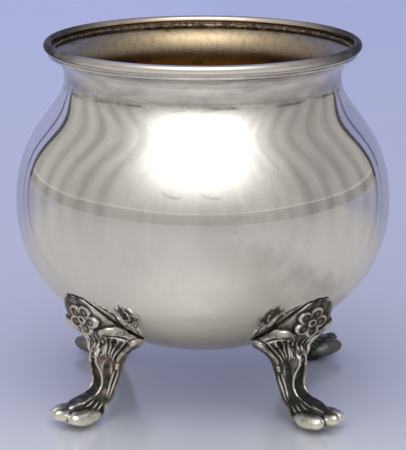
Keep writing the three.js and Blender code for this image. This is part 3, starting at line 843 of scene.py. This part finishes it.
def hollow_marks(place, normal, links, hand):
    """How far each point lies in a hollow, from 0 on a ridge to 1, where dirt stays."""
    small = ((smoothed(place, links, SMALL_HOLLOW_ROUNDS) - place) * normal).sum(axis=1)
    large = ((smoothed(place, links, LARGE_HOLLOW_ROUNDS) - place) * normal).sum(axis=1)
    recess = EVEN_DIRT + SMALL_HOLLOW_DIRT * small + LARGE_HOLLOW_DIRT * large
    x, y, z = place.T
    belly = spun_profile(0)[:BELLY_ROWS]
    off_belly = np.hypot(x, y) - np.interp(z, belly[:, 1], belly[:, 0])
    recess += SOLDER_DIRT * between(off_belly, *SOLDER_GAP) * (z > BOTTOM_HEIGHT)
    paw = between(x, *PAW_REACH) * between(z, *PAW_TOP)
    instep = between(x, *INSTEP_REACH) * between(z, *INSTEP_TOP)
    shank = between(z, *SHANK_TOP)
    recess += (SHANK_DIRT * shank + INSTEP_DIRT * instep) * (1 - paw) - PAW_RUB * paw
    off_flower = np.hypot((y - hand * FLOWER_ASIDE) / PETAL_STRETCH, z - FLOWER_HEIGHT)
    plate = between(z, *PLATE_BOTTOM) * between(off_flower, *OFF_FLOWER)
    recess += KNEE_DIRT * between(z, *KNEE_BOTTOM) + PLATE_DIRT * plate
    return smoothed(np.clip(recess, 0, 1)[:, None], links, 1)


def cast_foot(hand):
    """The foot's pattern in its own frame, in millimetres, with its hollows marked."""
    mesh = joined_pattern(hand)
    ends = np.zeros(len(mesh.edges) * 2, int)
    mesh.edges.foreach_get("vertices", ends)
    ends = ends.reshape(-1, 2)
    links = np.concatenate((ends, ends[:, ::-1])).T
    place = smoothed(rows_of(mesh), links, 3)
    move_points(mesh, place)
    normal = smoothed(rows_of(mesh, "normal"), links, 4)
    normal /= np.linalg.norm(normal, axis=1)[:, None]
    rise = stroke_heights(place, BROAD_STROKES) + stroke_heights(place, FINE_STROKES)
    rise += sand_heights(place)
    place = fitted(smoothed(place + normal * rise[:, None], links, 1))
    move_points(mesh, place)
    marks = hollow_marks(place, rows_of(mesh, "normal"), links, hand)
    marked = mesh.attributes.new("recess", "FLOAT", "POINT")
    marked.data.foreach_set("value", marks.ravel())
    mesh.shade_smooth()
    return mesh


# The cast silver: bright on its ridges and toes and under a dark film in the hollows. The back
# feet are covered all over in painted shade, darker on the right. Places are in metres.
CAST_BRIGHT = (0.76, 0.73, 0.69)
CAST_PAW = (0.92, 0.91, 0.85)
CAST_FILM = (0.20, 0.198, 0.19)
CAST_BROWN = (0.20, 0.15, 0.125)
CAST_DARK = (0.055, 0.054, 0.052)
CAST_SHADE = (0.10, 0.105, 0.115)
CAST_REDDISH = (0.42, 0.22, 0.15)
PAINTED_SHADE_DEPTHS = (-0.01, 0.015)
PAW_HEIGHTS = (0.0066, 0.0048)
KNEE_HEIGHTS = (0.028, 0.034)
cast_metal, tree, shader, place = new_finish("cast_silver_oxide_and_painted_shade")
recess = add_node(tree, "ShaderNodeAttribute", attribute_name="recess").outputs["Fac"]
apart = parts_of(tree, place)
mottle = maths(tree, "MULTIPLY_ADD", clouds(tree, place, 260, detail=5), 0.55, -0.28)
dirt = maths(tree, "ADD", recess, mottle)
# The feet are darker toward the right.
dirt = maths(tree, "ADD", dirt, spread(tree, apart["X"], -0.03, 0.03, -0.03, 0.10))
# Painted shade over the back feet.
behind = spread(tree, apart["Y"], *PAINTED_SHADE_DEPTHS)
paw = spread(tree, apart["Z"], *PAW_HEIGHTS)
# Rubbed toes lose their film, the back toes less so, which is painted shade.
rubbed_paws_painted_shade_behind = times(tree, paw, spread(tree, apart["Y"], 0.0, -0.01, 0.3, 1.0))
film = times(
    tree, spread(tree, dirt, 0.26, 0.60, 0.0, 0.95), maths(tree, "SUBTRACT", 1.0, rubbed_paws_painted_shade_behind))
film = maths(tree, "MAXIMUM", film, times(tree, behind, 0.92))
# The painted shade is darker on the right back foot.
film_and_painted_shade = times(tree, behind, spread(tree, apart["X"], -0.02, 0.02, 0.45, 0.9))
film_and_painted_shade = blend_colours(tree, film_and_painted_shade, CAST_FILM, CAST_SHADE)
warm = times(
    tree, patches(tree, place, 55, 0.42, 0.6, detail=3), maths(tree, "SUBTRACT", 1.0, behind))
warm = times(tree, warm, spread(tree, apart["X"], 0.01, -0.02, 0.4, 1.0))
red = times(
    tree, patches(tree, place, 110, 0.58, 0.72, detail=3), spread(tree, apart["Z"], *KNEE_HEIGHTS))
colour = blend_colours(tree, paw, CAST_BRIGHT, CAST_PAW)
colour = blend_colours(tree, film, colour, blend_colours(tree, warm, film_and_painted_shade, CAST_BROWN))
colour = blend_colours(tree, times(tree, red, 0.55), colour, CAST_REDDISH)
colour = blend_colours(tree, spread(tree, dirt, 0.52, 0.86), colour, CAST_DARK)
rough = spread(tree, dirt, 0.35, 0.85, 0.15, 0.5)
pores = lumps(tree, clouds(tree, place, 1500, detail=3), 0.3, 0.00025)
feed(tree, shader, Base_Color=colour, Roughness=rough, Normal=pores)

patterns = [cast_foot(1), cast_foot(-1)]
for pattern in patterns:
    pattern.transform(Matrix.Scale(MILLIMETRE, 4))
    pattern.materials.clear()
    pattern.materials.append(cast_metal)
for i, corner in enumerate(FOOT_NAMES):
    mesh = patterns[i % 2].copy()
    mesh.transform(Matrix.Rotation((i + 0.5) / len(FOOT_NAMES) * 2 * math.pi, 4, "Z"))
    mesh.update()
    foot = bpy.data.objects.new("foot_casting_" + corner, mesh)
    bpy.context.scene.collection.objects.link(foot)
    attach(foot, "root")
    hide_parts("foot_" + corner)
for pattern in patterns:
    bpy.data.meshes.remove(pattern)


# The table: a plain pale sheet, lavender to the eye and faintly glossy, with painted light that
# makes it paler just in front of the bowl. The metal sees it as the warm grey that the light
# box gives it.
TABLE_RADIUS = 3000
TABLE_SIDES = 96
TABLE_NEAR = (0.59, 0.63, 0.80)
TABLE_PAINTED_LIGHT = (0.71, 0.75, 0.85)
TABLE_FAR = (0.52, 0.59, 1.0)
TABLE_MIRRORED = (0.695, 0.69, 0.67)
TABLE_MIRRORED_BACK = (0.46, 0.49, 0.66)
TABLE_ROUGHNESS = 0.17
TABLE_GLOSS = 0.85
table_turn = np.linspace(0, 2 * math.pi, TABLE_SIDES, endpoint=False)
table_edge = [(math.cos(a), math.sin(a), 0) for a in table_turn]
table = mesh_piece(
    "table", TABLE_RADIUS * np.array([(0, 0, 0), *table_edge]),
    [(0, i + 1, (i + 1) % TABLE_SIDES + 1) for i in range(TABLE_SIDES)])
sheet, tree, shader, place = new_finish("pale_sheet", metallic=0.0)
distance = add_node(tree, "ShaderNodeVectorMath", {0: place}, operation="LENGTH").outputs["Value"]
depth = parts_of(tree, place)["Y"]
far = spread(tree, distance, 0.08, 0.85, way="LINEAR")
# Painted light: paler just in front of the bowl.
front = times(tree, spread(tree, depth, 0.0, -0.065), spread(tree, distance, 0.30, 0.09))
seen = blend_colours(tree, far, TABLE_NEAR, TABLE_FAR)
seen = blend_colours(tree, front, seen, TABLE_PAINTED_LIGHT)
mirrored = blend_colours(
    tree, spread(tree, depth, 0.03, 0.22), TABLE_MIRRORED, TABLE_MIRRORED_BACK)
ray = tree.nodes.new("ShaderNodeLightPath").outputs
feed(tree, shader, Base_Color=blend_colours(tree, ray["Is Camera Ray"], mirrored, seen))
shader.inputs["Roughness"].default_value = TABLE_ROUGHNESS
shader.inputs["Specular IOR Level"].default_value = TABLE_GLOSS
table.data.materials.append(sheet)


# The light: a white cloth light box round the bowl. It is open at the back, where the
# lavender backdrop shows between dark edges. Its front sheet hangs in folds, sags in two
# creases, has a hem just above the table and carries one large soft lamp. Angles are in
# degrees, and an azimuth counts from the front to the right.
CAMERA_AZIMUTH, CAMERA_ELEVATION = 2.8, 14.183
LAMP_AZIMUTH, LAMP_ELEVATION = -2.5, 60
CLOTH = (0.50, 0.485, 0.465)
LAMP = (2.4, 2.35, 2.25)
BACKDROP = (0.40, 0.415, 0.64)
BACKDROP_SEEN = (0.42, 0.46, 0.95)
OPENING_EDGE = (0.02, 0.02, 0.03)
LAMP_EDGE, HALO_EDGE, GLOW_EDGE = (52, 13), (64, 22), (62, 8)
LAMP_RAGGEDNESS = 24
PLEAT_WIDTH, PLEAT_HEIGHT = 7, 55
FOLD_WIDTH, FOLD_WANDER = 16, 7
FOLD_AZIMUTH, FOLD_UNEVENNESS = 66.5, 2.5
CREASE_AZIMUTHS = (-20, 5)
CREASE_ELEVATION, CREASE_SAG = 21.5, 0.05
HEM_AZIMUTHS, HEM_ELEVATIONS = (60, 132), (8, 2.5)
OPENING_ELEVATIONS, OPENING_AZIMUTHS = (5, 65), (134, 124)
SECOND_EDGE = 9


def direction(azimuth, elevation):
    """The way to a place in the room from the bowl."""
    azimuth, elevation = math.radians(azimuth), math.radians(elevation)
    return Vector((
        math.sin(azimuth) * math.cos(elevation),
        -math.cos(azimuth) * math.cos(elevation),
        math.sin(elevation),
    ))


def off(tree, value, middle):
    """How far a value is from a middle."""
    return maths(tree, "ABSOLUTE", maths(tree, "SUBTRACT", value, middle))


def dimmed(tree, colour, share):
    """A colour scaled by a share."""
    made = add_node(tree, "ShaderNodeVectorMath", {0: colour, "Scale": share}, operation="SCALE")
    return made.outputs[0]


world = bpy.data.worlds.new("light_box")
bpy.context.scene.world = world
world.use_nodes = True
tree = world.node_tree
way = add_node(tree, "ShaderNodeMapping", {
    "Vector": tree.nodes.new("ShaderNodeTexCoord").outputs["Generated"],
    "Rotation": (0, 0, -math.radians(CAMERA_AZIMUTH))}).outputs[0]
apart = parts_of(tree, way)
azimuth = maths(tree, "DEGREES", maths(
    tree, "ARCTAN2", apart["X"], times(tree, apart["Y"], -1.0)))
elevation = maths(tree, "DEGREES", maths(tree, "ARCSINE", apart["Z"]))
outward = maths(tree, "ABSOLUTE", azimuth)

# The lamp's bright patch, its halo and the glow of the cloth, all ragged by the pleats
toward = add_node(tree, "ShaderNodeVectorMath", {
    0: way, 1: direction(LAMP_AZIMUTH, LAMP_ELEVATION)}, operation="DOT_PRODUCT")
off_lamp = maths(tree, "DEGREES", maths(tree, "ARCCOSINE", toward.outputs["Value"]))
drape = add_node(tree, "ShaderNodeCombineXYZ", {
    "X": maths(tree, "DIVIDE", azimuth, PLEAT_WIDTH),
    "Y": maths(tree, "DIVIDE", elevation, PLEAT_HEIGHT)}).outputs[0]
pleat = clouds(tree, drape, 1.0, detail=2)
off_lamp = maths(tree, "ADD", off_lamp, wander(tree, pleat, LAMP_RAGGEDNESS))
lit = maths(tree, "POWER", spread(tree, off_lamp, *LAMP_EDGE, way="LINEAR"), 2.8)
halo = maths(tree, "POWER", spread(tree, off_lamp, *HALO_EDGE, way="LINEAR"), 1.6)
glow = spread(tree, off(tree, azimuth, LAMP_AZIMUTH), *GLOW_EDGE)
glow = times(tree, glow, spread(tree, elevation, 2.0, 40.0))
glow = times(tree, glow, spread(tree, pleat, 0.3, 0.62, 0.45, 1.15))

# The folds at both sides of the front sheet
lean = maths(tree, "MULTIPLY_ADD", maths(tree, "SIGN", azimuth), FOLD_UNEVENNESS, FOLD_AZIMUTH)
phase = maths(tree, "SUBTRACT", outward, lean)
phase = maths(tree, "ADD", phase, wander(tree, clouds(tree, way, 1.6), FOLD_WANDER))
wave = maths(tree, "COSINE", times(tree, phase, 2 * math.pi / FOLD_WIDTH))
fold = maths(tree, "POWER", maths(tree, "MULTIPLY_ADD", wave, 0.5, 0.5), 1.3)
fold = times(tree, fold, spread(tree, outward, 50.0, 64.0))
fold = maths(tree, "ADD", fold, spread(tree, pleat, 0.56, 0.36, 0.0, 0.45))
shade = maths(tree, "MULTIPLY_ADD", fold, -0.25, 1.03)
shade = maths(tree, "ADD", shade, spread(tree, elevation, 66.0, 84.0, 0.0, 0.42))
shade = times(tree, shade, spread(tree, azimuth, 30.0, 80.0, 1.0, 0.84))

# The creases below the lamp, and the hem, darker below its line
for crease_azimuth in CREASE_AZIMUTHS:
    beside = maths(tree, "SUBTRACT", azimuth, crease_azimuth)
    sag = maths(tree, "POWER", maths(tree, "ADD", beside, -3.0), 2.0)
    sag = maths(tree, "MULTIPLY_ADD", sag, CREASE_SAG, CREASE_ELEVATION)
    crease = times(
        tree, spread(tree, off(tree, elevation, sag), 1.8, 0.4),
        spread(tree, maths(tree, "ABSOLUTE", beside), 7.5, 5.0))
    shade = maths(tree, "MULTIPLY_ADD", crease, -0.55, shade)
hem = spread(tree, outward, *HEM_AZIMUTHS, *HEM_ELEVATIONS, way="LINEAR")
above_hem = maths(tree, "SUBTRACT", elevation, hem)
hem_line = spread(tree, maths(tree, "ABSOLUTE", above_hem), 0.9, 0.3, 0.0, 0.3)
shade = times(tree, shade, spread(tree, above_hem, -0.4, 0.4, 0.86, 1.0))
shade = maths(tree, "ADD", maths(tree, "MULTIPLY_ADD", glow, 0.85, shade), hem_line)
shade = maths(tree, "MULTIPLY_ADD", halo, 0.6, shade)
box = blend_colours(tree, lit, dimmed(tree, CLOTH, shade), LAMP)

# The opening at the back, with two dark edges at each side
opening = spread(tree, elevation, *OPENING_ELEVATIONS, *OPENING_AZIMUTHS, way="LINEAR")
past_edge = maths(tree, "SUBTRACT", outward, opening)
backdrop = dimmed(tree, BACKDROP, spread(tree, azimuth, -20.0, 20.0, 1.0, 0.84))
box = blend_colours(tree, spread(tree, past_edge, 1.6, 2.0), box, backdrop)
edges = maths(
    tree, "MAXIMUM", spread(tree, maths(tree, "ABSOLUTE", past_edge), 2.2, 1.4),
    spread(tree, off(tree, past_edge, SECOND_EDGE), 1.5, 0.8, 0.0, 0.8))
box = blend_colours(tree, times(tree, edges, 0.85), box, OPENING_EDGE)
ray = tree.nodes.new("ShaderNodeLightPath").outputs
box = blend_colours(tree, ray["Is Camera Ray"], box, BACKDROP_SEEN)
tree.links.new(box, tree.nodes["Background"].inputs["Color"])


# The camera stands at the photograph's place, a little to the right and above, with a long
# lens. Its distance is in metres.
VIEW_DISTANCE = 0.65
VIEW_CENTRE = Vector((0, 0, 0.051722))
LENS_LENGTH, LENS_SHIFT, SENSOR_WIDTH = 173.6, 0.00056, 36
camera = bpy.data.objects.new("camera", bpy.data.cameras.new("camera"))
bpy.context.scene.collection.objects.link(camera)
bpy.context.scene.camera = camera
back = direction(CAMERA_AZIMUTH, CAMERA_ELEVATION)
camera.location = VIEW_CENTRE + VIEW_DISTANCE * back
camera.rotation_euler = (-back).to_track_quat("-Z", "Y").to_euler()
camera.data.sensor_width = SENSOR_WIDTH
camera.data.lens = LENS_LENGTH
camera.data.shift_x = LENS_SHIFT
camera.data.clip_start, camera.data.clip_end = 0.05, 20
bpy.context.scene.view_settings.view_transform = "Standard"
